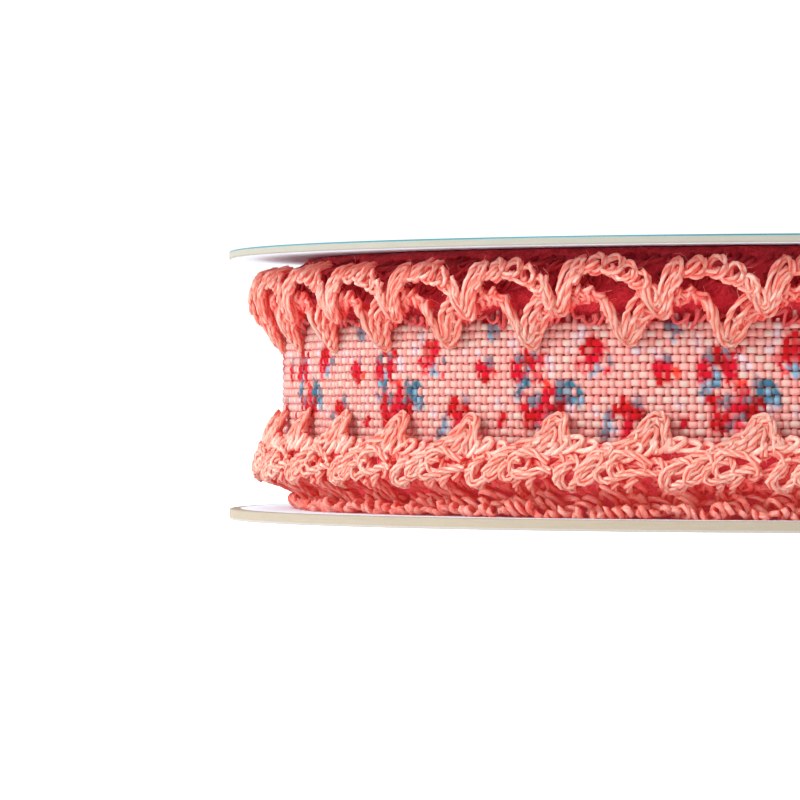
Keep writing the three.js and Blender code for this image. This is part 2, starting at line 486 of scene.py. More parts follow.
def flareRadius(flare, height):
    share = np.sin(np.pi * (height - flare["from"]) / flare["span"])
    past = np.clip((height - flare["tuckAt"]) * flare["tuckTo"], 0, tuck["most"]) / tuck["span"]
    inwards = tuck["deep"] * (1 - np.exp(-past ** tuck["power"]))
    swollen = (flare["reach"] - tapeSizes["radius"]) * np.clip(share, 0, 1) ** flare["fullness"]
    return tapeSizes["radius"] + swollen - inwards


def onSpool(along, height, radius):  # along is the length round the spool from the front, to the right
    turn = along / layout["netRadius"]
    return np.stack([radius * np.sin(turn), -radius * np.cos(turn), height + innerFace], axis=1)


def unevenness(seed, amount):  # one value for each scallop, running smoothly round
    draw = random.Random(seed)
    count = layout["scallops"]
    raw = [draw.uniform(-1, 1) for _ in range(count)]
    share = layout["ownShare"]
    return [amount * (share * raw[i] + (1 - share) * raw[(i + 1) % count]) for i in range(count)]


def scallopShifts(seed, lift, wander, places):  # how far along and up each scallop is from its even place
    rise = unevenness(seed, lift)
    slide = unevenness(seed + 1, wander)
    known = places or {}
    return [known.get(scallop, (slide[scallop], rise[scallop])) for scallop in range(layout["scallops"])]


def smoothOpen(rows, hasEnds=False):  # a smooth line through rows of numbers
    rows = np.array(rows, float)
    if not hasEnds:
        rows = np.vstack([2 * rows[0] - rows[1], rows, 2 * rows[-1] - rows[-2]])
    steps = lineSizes["smoothSteps"]
    share = (np.arange(steps) / steps)[:, None]
    parts = []
    for a, b, c, d in zip(rows[:-3], rows[1:-2], rows[2:-1], rows[3:]):
        parts.append(0.5 * (2 * b + (c - a) * share + (2 * a - 5 * b + 4 * c - d) * share ** 2
                            + (3 * b - a - 3 * c + d) * share ** 3))
    line = np.vstack(parts)
    return line if hasEnds else np.vstack([line, rows[-2]])


def smoothRound(rows, stitches):  # the same, closing after one round of the spool
    rows = np.array(rows, float)
    shift = np.zeros(rows.shape[1])
    shift[0] = roundLength
    shift[-1] = stitches
    return smoothOpen(np.vstack([rows[-1] - shift, rows, rows[0] + shift, rows[1] + shift]), True)


def smoothLoop(rows):  # the same, closing on itself
    return smoothOpen(np.vstack([rows[-1:], rows, rows[:2]]), True)


def evenly(points, step, closed):  # the same line with its points closer together at the bends
    line = np.vstack([points, points[:1]]) if closed else points
    legs = np.diff(line[:, :3], axis=0)
    gaps = np.linalg.norm(legs, axis=1) + 1e-9
    course = legs / gaps[:, None]
    bend = np.linalg.norm(course - np.roll(course, 1, axis=0), axis=1) / gaps
    if not closed:
        bend[0] = 0
    straight = lineSizes["straightWeight"]
    weight = gaps * (straight + (1 - straight) * np.clip(bend / lineSizes["tightBend"], 0, 1))
    run = np.concatenate([[0], np.cumsum(weight)])
    count = max(3, int(round(run[-1] / step)))
    marks = np.linspace(0, run[-1], count + 1)
    if closed:
        marks = marks[:-1]
    return np.stack([np.interp(marks, run, line[:, k]) for k in range(line.shape[1])], axis=1)


yarnSizes = {
    "ply": 0.18, "apart": 0.12, "lay": 3.6, "step": 0.34, "sides": 4, "unevenness": 0.5, "loose": 1.6,
    "looseScale": 320.0, "thickScale": 900.0, "plyShift": 0.0137, "shadeFrom": 0.4, "shadeSpan": 1.1,
    "fullness": 0.175,
}


# each line's tone is painted shade, added to the painted shade from the yarn's depth
class Edging:  # collects the yarn lines of one edging, each with its depth tone
    def __init__(self, flare=None, phase=0.0, sunk=0.0):
        self.flare = flare
        self.start = math.radians(phase) * layout["netRadius"]
        self.sunk = sunk
        self.lines = []

    def add(self, rows, closed=True, tone=0.0, step=yarnSizes["step"], below=0.0):
        along, height, out = rows[:, 0], rows[:, 1], rows[:, 2]
        rim = flareRadius(self.flare, height)
        spot = onSpool(along + self.start, height, rim + out - below - self.sunk)
        tones = np.full(len(rows), float(tone))
        self.lines.append((evenly(np.column_stack([spot, tones, rim]), step, closed), closed))

    def carrier(self, name):
        points, edges, tones, rims = [], [], [], []
        for line, closed in self.lines:
            base = len(points)
            points.extend(line[:, :3] * mm)
            tones.extend(line[:, 3])
            rims.extend(line[:, 4] * mm)
            edges.extend((base + i, base + i + 1) for i in range(len(line) - 1))
            if closed:
                edges.append((base + len(line) - 1, base))
        mesh = meshFrom(name + "Line", points, (), edges)
        for label, values in (("tone", tones), ("rim", rims)):
            mesh.attributes.new(label, "FLOAT", "POINT").data.foreach_set("value", values)
        return newObject(name + "Line", mesh)


def allRound(template, stitches, seed, lift, wander, swell, places=None):
    # a guide for all scallops from the rows of one, which has this many stitches
    bulge = unevenness(seed + 2, swell)
    rows = []
    for scallop, (shift, raised) in enumerate(scallopShifts(seed, lift, wander, places)):
        for at, height, out, ease, made in template:
            rows.append((pitch * (scallop + at) + shift, height + raised, out + bulge[scallop], ease,
                         scallop * stitches + made))
    return smoothRound(rows, stitches * layout["scallops"])


def stitched(guide, wide, high, deep, seed, lean=0.0, rough=0.15, turn=0.0, aside=(0.0, 0.0)):
    # loops of a chain laid along a guide, eased by its fourth number and counted by its fifth
    lap = round(guide[-1, 4] - guide[0, 4] + (guide[-1, 4] - guide[-2, 4]))
    onwards = np.array([roundLength, 0, 0, 0, lap])
    whole = np.vstack([guide, guide[:1] + onwards])
    gaps = np.linalg.norm(np.diff(whole, axis=0)[:, :2], axis=1)
    run = np.concatenate([[0], np.cumsum(gaps)])
    marks = np.arange(0, run[-1], lineSizes["stitchStep"])
    full = np.stack([np.interp(marks, run, whole[:, k]) for k in range(5)], axis=1)
    after = np.vstack([full[1:], full[:1] + onwards])
    before = np.vstack([full[-1:] - onwards, full[:-1]])
    course = (after - before)[:, :2]
    course /= np.linalg.norm(course, axis=1)[:, None]
    across = np.stack([-course[:, 1], course[:, 0]], axis=1)
    phase = fullTurn * full[:, 4] + turn
    spots = np.arange(-2, lap + 3)
    values = np.random.default_rng(seed).uniform(-1, 1, (4, len(spots)))
    values[:, -5:] = values[:, :5]  # they come round again where the lap closes
    tall, broad, driftX, driftY = (rough * np.interp(full[:, 4], spots, row) for row in values)
    ease = full[:, 3]
    up = -high * np.cos(phase) * ease * (1 + tall)
    swing = np.sin(phase) - yarnSizes["fullness"] * np.sin(2 * phase)
    side = wide * swing * ease * (1 + broad) + lean * up + driftX * wide * ease + aside[0]
    up = up + driftY * high * ease + aside[1]
    flat = full[:, :2] + course * side[:, None] + across * up[:, None]
    return np.column_stack([flat, full[:, 2] + deep * np.sin(phase) * ease])


def yarnTree():  # plies twisted round each other along every line
    tree, given, leave = newTree("twistedYarn", (
        "Ply Radius", "Plies Apart", "Lay Length", "Unevenness", "Shade From", "Shade To"),
        ("Plies", "Sides"))
    line = addNode(tree, "GeometryNodeMeshToCurve", {"Mesh": given["Geometry"]})
    axis = stored(tree, line, "axisPlace", addNode(tree, "GeometryNodeInputPosition"), "FLOAT_VECTOR")
    plies = addNode(tree, "GeometryNodeDuplicateElements", {"Geometry": axis, "Amount": given["Plies"]},
                    domain="SPLINE")
    number = plies.outputs["Duplicate Index"]
    length = addNode(tree, "GeometryNodeSplineParameter").outputs["Length"]
    along = stored(tree, plies, "along", plus(tree, length, times(tree, number, yarnSizes["plyShift"])))
    turns = plus(tree, divided(tree, length, given["Lay Length"]), divided(tree, number, given["Plies"]))
    loose = times(tree, minus(tree, noise(tree, yarnSizes["looseScale"]), 0.5), yarnSizes["loose"])
    angle = times(tree, plus(tree, turns, loose), fullTurn)
    normal = addNode(tree, "GeometryNodeInputNormal")
    side = vectorMaths(tree, "CROSS_PRODUCT", addNode(tree, "GeometryNodeInputTangent"), normal)
    offset = vectorMaths(tree, "ADD", scaled(tree, normal, maths(tree, "COSINE", angle)),
                         scaled(tree, side, maths(tree, "SINE", angle)))
    swell = times(tree, minus(tree, noise(tree, yarnSizes["thickScale"]), 0.5), given["Unevenness"])
    size = plus(tree, 1.0, swell)
    moved = addNode(tree, "GeometryNodeSetPosition", {
        "Geometry": along, "Offset": scaled(tree, offset, times(tree, given["Plies Apart"], size))})
    ring = addNode(tree, "GeometryNodeCurvePrimitiveCircle", {
        "Resolution": given["Sides"], "Radius": given["Ply Radius"]})
    around = stored(tree, ring, "around", addNode(tree, "GeometryNodeSplineParameter").outputs["Factor"])
    tube = addNode(tree, "GeometryNodeCurveToMesh", {
        "Curve": moved, "Profile Curve": around, "Scale": size, "Fill Caps": True})
    # kept for painted highlight and shade: how far each point lies from the yarn's axis, and how far below
    # the edging's rim, added to the line's tone
    here = addNode(tree, "GeometryNodeInputPosition")
    away = vectorMaths(tree, "DISTANCE", here, named(tree, "axisPlace", "FLOAT_VECTOR"))
    whole = plus(tree, given["Ply Radius"], given["Plies Apart"])
    ridgeShading = stored(tree, tube, "ridgeShading", divided(tree, away, whole))
    level = vectorMaths(tree, "LENGTH", vectorMaths(tree, "MULTIPLY", here, (1.0, 1.0, 0.0)))
    inwards = minus(tree, named(tree, "rim"), level)
    shade = ranged(tree, inwards, given["Shade From"], given["Shade To"])
    dark = maths(tree, "MINIMUM", plus(tree, shade, named(tree, "tone")), 1.0)
    deep = stored(tree, ridgeShading, "deep", dark)
    bare = addNode(tree, "GeometryNodeRemoveAttribute", {"Geometry": deep, "Name": "axisPlace"})
    return closeTree(tree, bare, given, leave)


twistedYarn = yarnTree()


def makeYarn(edging, name, plies=2, ply=yarnSizes["ply"], apart=yarnSizes["apart"],
             sides=yarnSizes["sides"], shade=yarnSizes["shadeSpan"], finish=yarnCotton):
    shadeFrom = edging.sunk - yarnSizes["shadeFrom"]
    return shaped(name, edging.carrier(name), twistedYarn, {
        "Ply Radius": ply * mm, "Plies Apart": apart * mm, "Lay Length": yarnSizes["lay"] * mm,
        "Plies": plies, "Sides": sides, "Unevenness": yarnSizes["unevenness"],
        "Shade From": shadeFrom * mm, "Shade To": (shadeFrom + shade) * mm, "Material": finish})


# a hair's start, middle and end are in shares of its length
fibreSizes = {
    "spacing": 4.2, "length": 1.05, "shortest": 0.5, "longest": 1.5, "radius": 0.015, "spread": 0.3,
    "start": (-0.5, 0.0, 0.0), "middle": (0.1, 0.45, 0.1), "end": (0.5, -0.1, 0.2), "steps": 2, "sides": 3,
    "ridgeShading": 0.8,
}


def fibreTree():  # loose curved hairs standing off every line
    tree, given, leave = newTree("looseFibres", (
        "Spacing", "Hair Length", "Hair Radius", "Spread"), ("Seed",))
    line = addNode(tree, "GeometryNodeMeshToCurve", {"Mesh": given["Geometry"]})
    roots = addNode(tree, "GeometryNodeCurveToPoints", {"Curve": line, "Length": given["Spacing"]},
                    mode="LENGTH")
    drift = addNode(tree, "FunctionNodeRandomValue", {
        0: (-1.0, -1.0, -1.0), 1: (1.0, 1.0, 1.0), "Seed": given["Seed"]}, data_type="FLOAT_VECTOR")
    moved = addNode(tree, "GeometryNodeSetPosition", {
        "Geometry": roots, "Offset": scaled(tree, drift.outputs[0], given["Spread"])})
    hair = addNode(tree, "GeometryNodeCurveQuadraticBezier", {
        "Resolution": fibreSizes["steps"], "Start": fibreSizes["start"], "Middle": fibreSizes["middle"],
        "End": fibreSizes["end"]})
    lean = addNode(tree, "FunctionNodeRandomValue", {
        0: (0.0, 0.0, 0.0), 1: (anyTurn, anyTurn, anyTurn), "Seed": plus(tree, given["Seed"], 1.0)},
        data_type="FLOAT_VECTOR")
    size = addNode(tree, "FunctionNodeRandomValue", {
        2: fibreSizes["shortest"], 3: fibreSizes["longest"], "Seed": plus(tree, given["Seed"], 2.0)},
        data_type="FLOAT")
    length = times(tree, size.outputs[1], given["Hair Length"])
    growth = combined(tree, length, length, length)
    placed = addNode(tree, "GeometryNodeInstanceOnPoints", {
        "Points": moved, "Instance": hair, "Rotation": lean, "Scale": growth})
    single = addNode(tree, "GeometryNodeRealizeInstances", {"Geometry": placed})
    ring = addNode(tree, "GeometryNodeCurvePrimitiveCircle", {
        "Resolution": fibreSizes["sides"], "Radius": given["Hair Radius"]})
    tube = addNode(tree, "GeometryNodeCurveToMesh", {
        "Curve": single, "Profile Curve": ring, "Fill Caps": True})
    # the hairs take one ridge shading value, a painted highlight partway to pale
    return closeTree(tree, stored(tree, tube, "ridgeShading", fibreSizes["ridgeShading"]), given, leave)


looseFibres = fibreTree()


def makeFibres(edgings, name, seed):
    roots = Edging()
    for edging in edgings:
        roots.lines.extend(edging.lines)
    return shaped(name, roots.carrier(name), looseFibres, {
        "Spacing": fibreSizes["spacing"] * mm, "Hair Length": fibreSizes["length"] * mm,
        "Hair Radius": fibreSizes["radius"] * mm, "Spread": fibreSizes["spread"] * mm, "Seed": seed,
        "Material": yarnCotton})


# the upper edging, with heights and what stands outwards in mm and places as shares of a scallop

# how far the scallops in view lie from their even places, as (along, up)
archPlaces = {34: (0.0, 0.0), 35: (0.25, 0.3), 36: (0.1, 0.0), 37: (-0.2, 0.1), 38: (-0.25, 0.2)}
netPlaces = {34: (0.1, 0.0), 35: (0.5, 0.1), 36: (0.2, 0.0), 37: (0.0, 0.1), 38: (0.0, 0.0)}
# rows of a guide, as (place, height, outwards, ease, stitches so far)
chainRows = [
    (0.0, 16.75, -0.1, 0.0, 0.0), (0.035, 17.6, -0.1, 0.0, 0.15), (0.05, 18.6, -0.1, 0.0, 0.35),
    (0.08, 19.4, 0.0, 0.3, 0.6), (0.13, 20.1, 0.0, 0.8, 1.0), (0.235, 20.5, 0.0, 1.0, 1.5),
    (0.345, 20.65, 0.0, 1.0, 2.0), (0.45, 20.65, 0.0, 1.05, 2.5), (0.535, 20.4, 0.0, 1.0, 3.0),
    (0.62, 20.15, 0.0, 1.0, 3.5), (0.71, 19.8, 0.0, 1.0, 4.0), (0.8, 19.45, 0.0, 1.0, 4.5),
    (0.875, 18.95, 0.0, 1.0, 5.0), (0.935, 18.4, 0.0, 0.9, 5.5), (0.975, 17.5, -0.05, 0.2, 5.85),
]
# rings of the chain, as (place, height, half width, half height, slant in degrees)
ringRows = [
    (0.175, 19.85, 0.5, 1.05, -12), (0.355, 20.35, 0.76, 0.78, 0), (0.54, 20.3, 0.8, 0.78, 10),
    (0.71, 19.75, 0.7, 0.78, 26), (0.845, 18.9, 0.56, 0.8, 30), (0.945, 17.85, 0.4, 0.68, 20),
]
# single strands, as (place, height, outwards)
legStrands = [
    [(-0.17, 19.2, 0.0), (-0.135, 18.6, 0.15), (-0.105, 17.9, 0.15), (-0.055, 16.85, 0.0),
     (0.0, 16.3, -0.05), (0.055, 16.5, 0.0), (0.1, 17.3, 0.1), (0.13, 18.2, 0.2), (0.16, 19.0, 0.2),
     (0.21, 19.6, 0.05)],
    [(-0.12, 19.4, 0.05), (-0.085, 18.6, 0.2), (-0.05, 17.75, 0.15), (-0.005, 16.9, 0.05),
     (0.03, 17.5, 0.15), (0.035, 18.5, 0.25), (0.05, 19.4, 0.2), (0.085, 20.3, 0.15), (0.13, 21.0, 0.0)],
    [(-0.19, 18.7, -0.2), (-0.135, 18.0, 0.1), (-0.08, 17.2, 0.15), (-0.015, 16.5, 0.1),
     (0.045, 16.95, 0.15), (0.075, 17.9, 0.25), (0.1, 18.8, 0.2), (0.14, 19.6, 0.1), (0.19, 20.2, -0.1)],
]
netRows = [
    (0.0, 17.3, -0.45, 0.9, 0.0), (0.08, 17.8, -0.35, 1.0, 0.7), (0.165, 18.15, -0.3, 1.0, 1.5),
    (0.25, 18.2, -0.3, 0.9, 2.3), (0.33, 18.0, -0.3, 0.7, 3.0), (0.4, 17.5, -0.2, 0.55, 3.7),
    (0.445, 16.7, -0.1, 0.5, 4.5), (0.47, 15.9, 0.1, 0.5, 5.2), (0.5, 15.0, 0.2, 0.5, 6.0),
    (0.56, 14.35, 0.25, 0.4, 6.7), (0.615, 14.8, 0.2, 0.5, 7.4), (0.66, 15.5, 0.1, 0.6, 8.1),
    (0.715, 16.2, -0.1, 0.8, 8.8), (0.79, 16.8, -0.3, 1.0, 9.6), (0.89, 17.1, -0.4, 1.0, 10.7),
]
anchorStrands = [
    [(0.29, 17.6, -1.6), (0.35, 17.7, -0.8), (0.4, 17.5, -0.1), (0.43, 17.1, 0.1), (0.45, 16.5, 0.2),
     (0.465, 15.8, 0.3), (0.485, 15.0, 0.4), (0.53, 14.25, 0.45), (0.595, 14.05, 0.45), (0.66, 14.5, 0.4),
     (0.715, 15.15, 0.3), (0.775, 15.85, 0.15), (0.85, 16.6, -0.1), (0.93, 17.0, -0.4)],
    [(0.35, 17.5, -1.4), (0.42, 17.6, -0.4), (0.475, 17.0, 0.2), (0.5, 16.1, 0.35), (0.515, 15.3, 0.5),
     (0.545, 14.65, 0.55), (0.575, 15.3, 0.5), (0.605, 16.1, 0.4), (0.655, 16.9, 0.3), (0.72, 17.6, 0.2),
     (0.79, 18.2, 0.0), (0.86, 18.7, -0.4)],
    [(0.42, 17.6, -0.2), (0.47, 16.9, 0.2), (0.49, 16.2, 0.35), (0.51, 15.4, 0.45), (0.56, 14.5, 0.5),
     (0.63, 15.1, 0.45), (0.68, 15.9, 0.35), (0.74, 16.7, 0.2), (0.8, 17.4, 0.0), (0.87, 17.8, -0.4)],
]


def strandsRound(edging, strands, seed, lift, wander, places=None, wobble=0.1, step=yarnSizes["step"]):
    draw = random.Random(seed)
    for scallop, (shift, raised) in enumerate(scallopShifts(seed, lift, wander, places)):
        for strand in strands:
            rows = [(pitch * (scallop + at) + shift + draw.uniform(-wobble, wobble),
                     height + raised + draw.uniform(-wobble, wobble), out) for at, height, out in strand]
            edging.add(smoothOpen(rows), closed=False, step=step)


ringSizes = {
    "points": 12, "tilt": 0.26, "tiltTurn": 0.6, "twist": 0.05, "loose": 0.1, "slantSpread": 80,
    "upright": 0.75, "leaning": 0.25, "step": 0.36,
}


def ringsRound(edging, rings, seed, lift, wander, places):
    draw = random.Random(seed + 5)
    loose = ringSizes["loose"]
    slantSpread = ringSizes["slantSpread"]
    turn = fullTurn * np.arange(ringSizes["points"]) / ringSizes["points"]
    for scallop, (shift, raised) in enumerate(scallopShifts(seed, lift, wander, places)):
        # how far a ring keeps from following the edging's curve towards the disc
        upright = ringSizes["upright" if scallop in places else "leaning"]
        for at, height, wide, high, slant in rings:
            slope = math.radians(slant + draw.uniform(-slantSpread, slantSpread) * loose)
            swell = 1 + draw.uniform(-1, 1) * loose
            side = wide * swell * np.cos(turn)
            up = high * (2 - swell) * np.sin(turn)
            along = pitch * (scallop + at) + shift + draw.uniform(-loose, loose)
            level = height + raised + draw.uniform(-loose, loose)
            levels = level + side * math.sin(slope) + up * math.cos(slope)
            out = upright * (flareRadius(edging.flare, level) - flareRadius(edging.flare, levels))
            out += ringSizes["tilt"] * np.cos(turn + ringSizes["tiltTurn"])
            out += ringSizes["twist"] * np.sin(2 * turn + scallop)
            loop = [along + side * math.cos(slope) - up * math.sin(slope), levels, out]
            edging.add(smoothLoop(np.column_stack(loop)), step=ringSizes["step"])


# lift, wander and swell are how much the scallops differ
archUneven = {"seed": 21, "lift": 0.3, "wander": 0.2, "places": archPlaces}
upperArch = Edging(upperFlare, layout["upperPhase"], sunk=0.45)
chainGuide = allRound(chainRows, stitches=6, swell=0.2, **archUneven)
ringsRound(upperArch, ringRows, **archUneven)
upperArch.add(stitched(chainGuide, wide=0.42, high=0.34, deep=0.24, seed=33, rough=0.4, turn=2.6,
                       aside=(0.0, -0.5)), step=0.4, below=0.05)
strandsRound(upperArch, legStrands, wobble=0.06, **archUneven)
upperArches = makeYarn(upperArch, "upperArches", ply=0.2, apart=0.13)

upperRow = Edging(upperFlare, layout["upperPhase"], sunk=0.85)
netGuide = allRound(netRows, stitches=12, seed=24, lift=0.15, wander=0.2, swell=0.1, places=netPlaces)
upperRow.add(stitched(netGuide, wide=0.44, high=0.34, deep=0.2, seed=34, rough=0.25, aside=(0.0, 0.28)),
             step=0.4)
upperRow.add(stitched(netGuide, wide=0.44, high=-0.38, deep=0.2, seed=35, rough=0.25, turn=math.pi,
                      aside=(0.0, -0.28)), step=0.4, below=0.1)
upperRow.add(stitched(netGuide, wide=0.46, high=0.5, deep=0.25, seed=36, lean=0.3, rough=0.5, turn=1.5,
                      aside=(0.0, -0.05)), step=0.46, below=0.2)
strandsRound(upperRow, anchorStrands, seed=26, lift=0.18, wander=0.2, places=netPlaces)
upperNet = makeYarn(upperRow, "upperNet", ply=0.2, apart=0.14)
upperFibres = makeFibres([upperArch, upperRow], "upperFibres", seed=37)


plainSizes = {"points": 6, "wave": 2.1}


def plainGuide(height, stitches, swing, **uneven):  # a guide that only wavers up and down
    count = plainSizes["points"]
    rows = []
    for at in range(count):
        level = height + swing * math.sin(plainSizes["wave"] * at)
        rows.append((at / count, level, 0.0, 1.0, stitches * at / count))
    return allRound(rows, stitches, **uneven)


# yarn drawn as one ply, with no twist to see
singlePly = {"plies": 1, "apart": 0.0001}

# the tape's upper edge, where fine loops of the edging's first row stand up from the weave
tapeEdge = Edging(upperFlare, phase=2.0)
edgeGuide = plainGuide(16.3, stitches=9, swing=0.2, seed=63, lift=0.25, wander=0.4, swell=0.1)
tapeEdge.add(stitched(edgeGuide, wide=0.3, high=0.34, deep=0.2, seed=63, lean=0.6, rough=1.0), step=0.4,
             below=1.7)
upperSelvedge = makeYarn(tapeEdge, "upperSelvedge", ply=0.17, shade=12.0, finish=edgeCotton, **singlePly)


# the lower edging, splayed outwards and crumpled towards the disc, with rows and strands as above

apexRows = [
    (-0.6, 4.6, -0.1, 0.9, 0.0), (-0.5, 5.2, 0.0, 0.9, 0.9), (-0.39, 5.7, 0.1, 0.9, 1.8),
    (-0.28, 6.1, 0.2, 0.8, 2.7), (-0.19, 6.6, 0.3, 0.7, 3.5), (-0.13, 7.4, 0.35, 0.6, 4.2),
    (-0.05, 8.0, 0.35, 0.5, 4.9), (0.01, 7.8, 0.3, 0.6, 5.5), (0.05, 7.0, 0.2, 0.7, 6.2),
    (0.1, 6.1, 0.1, 0.8, 7.0), (0.18, 5.8, 0.0, 1.0, 7.9), (0.27, 5.8, -0.1, 1.0, 8.8),
    (0.34, 5.3, -0.2, 0.9, 9.6),
]
armStrands = [
    [(-0.62, 5.0, 0.1), (-0.5, 5.6, 0.25), (-0.38, 6.1, 0.35), (-0.26, 6.55, 0.45), (-0.19, 7.0, 0.5),
     (-0.15, 7.7, 0.5), (-0.1, 8.3, 0.5), (-0.03, 8.55, 0.5), (0.03, 8.2, 0.5), (0.065, 7.3, 0.45),
     (0.1, 6.4, 0.4), (0.17, 5.6, 0.1)],
    [(-0.5, 5.0, 0.2), (-0.36, 5.6, 0.35), (-0.24, 6.1, 0.45), (-0.15, 6.7, 0.5), (-0.11, 7.4, 0.5),
     (-0.07, 7.9, 0.55), (-0.02, 8.0, 0.55), (0.015, 7.5, 0.5), (0.045, 6.8, 0.45), (0.07, 6.0, 0.3),
     (0.08, 5.4, 0.1)],
    [(-0.2, 5.2, 0.3), (-0.13, 6.0, 0.45), (-0.08, 6.8, 0.5), (-0.045, 7.3, 0.5), (-0.01, 6.8, 0.5),
     (-0.02, 6.0, 0.4), (0.0, 5.2, 0.3)],
]
hookStrands = [
    [(-0.03, 4.55, 0.1), (-0.12, 5.1, 0.3), (-0.21, 5.5, 0.4), (-0.34, 5.45, 0.45), (-0.4, 4.9, 0.5),
     (-0.41, 4.2, 0.5), (-0.38, 3.6, 0.45), (-0.25, 3.8, 0.4), (-0.08, 4.05, 0.3), (0.02, 3.9, 0.1)],
    [(0.26, 4.9, 0.1), (0.17, 4.4, 0.3), (0.1, 3.8, 0.45), (0.08, 3.1, 0.5), (0.13, 2.65, 0.5),
     (0.22, 2.85, 0.5), (0.3, 3.3, 0.45), (0.375, 4.05, 0.4), (0.44, 4.65, 0.2)],
    [(0.52, 5.25, 0.3), (0.43, 4.9, 0.5), (0.35, 4.2, 0.6), (0.3, 3.55, 0.6), (0.32, 3.1, 0.6),
     (0.375, 3.1, 0.55), (0.44, 3.6, 0.5), (0.51, 4.3, 0.3)],
    [(0.68, 4.7, 0.2), (0.57, 4.5, 0.4), (0.49, 4.05, 0.5), (0.48, 3.45, 0.55), (0.55, 3.2, 0.5),
     (0.64, 3.55, 0.4), (0.74, 3.7, 0.2)],
    [(0.6, 5.6, 0.1), (0.47, 5.3, 0.35), (0.36, 4.4, 0.3), (0.26, 3.1, 0.3), (0.18, 2.45, 0.3),
     (0.12, 2.9, 0.3), (0.14, 3.8, 0.3), (0.21, 4.5, 0.1)],
    [(-0.18, 3.6, 0.1), (-0.26, 2.8, 0.2), (-0.34, 2.0, 0.1), (-0.43, 1.4, 0.0), (-0.5, 1.7, 0.0),
     (-0.44, 2.4, 0.1), (-0.36, 3.2, 0.1)],
]
crumpledRows = [
    (0.0, 4.4, 0.0, 1.0, 0.0), (0.12, 4.2, 0.1, 1.0, 0.7), (0.25, 4.3, 0.2, 1.0, 1.3),
    (0.38, 4.7, 0.15, 1.0, 2.0), (0.5, 4.6, 0.0, 1.0, 2.6), (0.62, 4.1, 0.0, 1.0, 3.2),
    (0.75, 3.9, -0.1, 1.0, 3.8), (0.88, 4.1, 0.0, 1.0, 4.4),
]
coverRows = [
    (0.0, 5.8, 0.0, 1.0, 0.0), (0.2, 6.0, 0.1, 1.0, 1.4), (0.4, 5.7, 0.0, 1.0, 2.8),
    (0.6, 5.4, -0.1, 1.0, 4.2), (0.8, 5.6, 0.0, 1.0, 5.6),
]
foldRows = [
    (0.0, 3.1, -0.2, 0.9, 0.0), (0.15, 2.9, -0.2, 1.0, 0.8), (0.3, 3.0, -0.3, 1.0, 1.6),
    (0.45, 3.4, -0.6, 0.8, 2.4), (0.6, 3.2, -0.5, 0.7, 3.1), (0.75, 2.8, -0.3, 0.9, 3.8),
    (0.88, 2.9, -0.2, 1.0, 4.5),
]

armUneven = {"seed": 41, "lift": 0.2, "wander": 0.25}
lowerRow = Edging(lowerFlare, layout["lowerPhase"], sunk=1.05)
strandsRound(lowerRow, armStrands, wobble=0.12, **armUneven)
apexGuide = allRound(apexRows, stitches=10, swell=0.2, **armUneven)
lowerRow.add(stitched(apexGuide, wide=0.5, high=0.36, deep=0.25, seed=44, rough=0.3))
lowerNet = makeYarn(lowerRow, "lowerNet", ply=0.2, apart=0.15)

lowerArch = Edging(lowerFlare, layout["lowerPhase"], sunk=0.75)
crumpledGuide = allRound(crumpledRows, stitches=5, seed=46, lift=0.25, wander=0.3, swell=0.3)
lowerArch.add(stitched(crumpledGuide, wide=1.0, high=-0.75, deep=0.35, seed=47, lean=0.7, rough=0.35),
              tone=0.1, step=0.44, below=0.15)
strandsRound(lowerArch, hookStrands, seed=55, lift=0.25, wander=0.4, wobble=0.15, step=0.42)
lowerArches = makeYarn(lowerArch, "lowerArches", plies=3, apart=0.18)

lowerFold = Edging(lowerFlare, layout["lowerPhase"], sunk=0.9)
coverGuide = allRound(coverRows, stitches=7, seed=52, lift=0.15, wander=0.3, swell=0.2)
lowerFold.add(stitched(coverGuide, wide=0.75, high=0.5, deep=0.25, seed=53, lean=0.3, rough=0.4))
lowerFolds = makeYarn(lowerFold, "lowerFolds", ply=0.26, sides=5, **singlePly)
lowerFibres = makeFibres([lowerRow, lowerArch, lowerFold], "lowerFibres", seed=57)
print("outer edgings made")


# the turns further in, seen past the outer ones

innerUpper = Edging(upperFlare, phase=2.0)
# each ring of turns as level, set in, tone of painted shade and seed
for level, below, tone, seed in ((20.9, 2.0, 0.0, 61), (19.3, 2.2, 0.3, 62)):
    ringGuide = plainGuide(level, stitches=6, swing=0.45, seed=seed, lift=0.3, wander=0.5, swell=0.2)
    innerUpper.add(stitched(ringGuide, wide=0.9, high=0.55, deep=0.2, seed=seed, rough=0.4),
                   tone=tone, step=0.42, below=below)
upperInner = makeYarn(innerUpper, "upperInnerTurns", ply=0.24, sides=3, shade=12.0, finish=shadeCotton,
                      **singlePly)
# level, stitches a scallop, loop width, height and depth, set in, tone of painted shade, further in at the
# sides, seed
lowerTurns = [
    (0.42, 11, 0.3, 0.26, 0.75, -2.5, 0.1, 3.0, 68), (0.78, 8, 0.5, 0.4, 0.5, -0.8, 0.0, 1.8, 65),
    (1.5, 7, 0.55, 0.42, 0.4, 0.3, 0.2, 1.7, 66), (2.3, 7, 0.55, 0.42, 0.35, 1.4, 0.45, 1.2, 67),
]
innerLower = Edging(lowerFlare, phase=3.0)
for level, stitches, wide, high, deep, below, tone, retreat, seed in lowerTurns:
    ringGuide = plainGuide(level, stitches, swing=0.15, seed=seed, lift=0.1, wander=0.5, swell=0.5)
    turns = stitched(ringGuide, wide, -high, deep, seed, lean=0.1, rough=1.3)
    turns[:, 2] -= retreat * np.minimum(1 - np.cos(turns[:, 0] / layout["netRadius"]), 1)
    innerLower.add(turns, tone=tone, step=0.4, below=below)
foldGuide = allRound(foldRows, stitches=5, seed=50, lift=0.3, wander=0.3, swell=0.3)
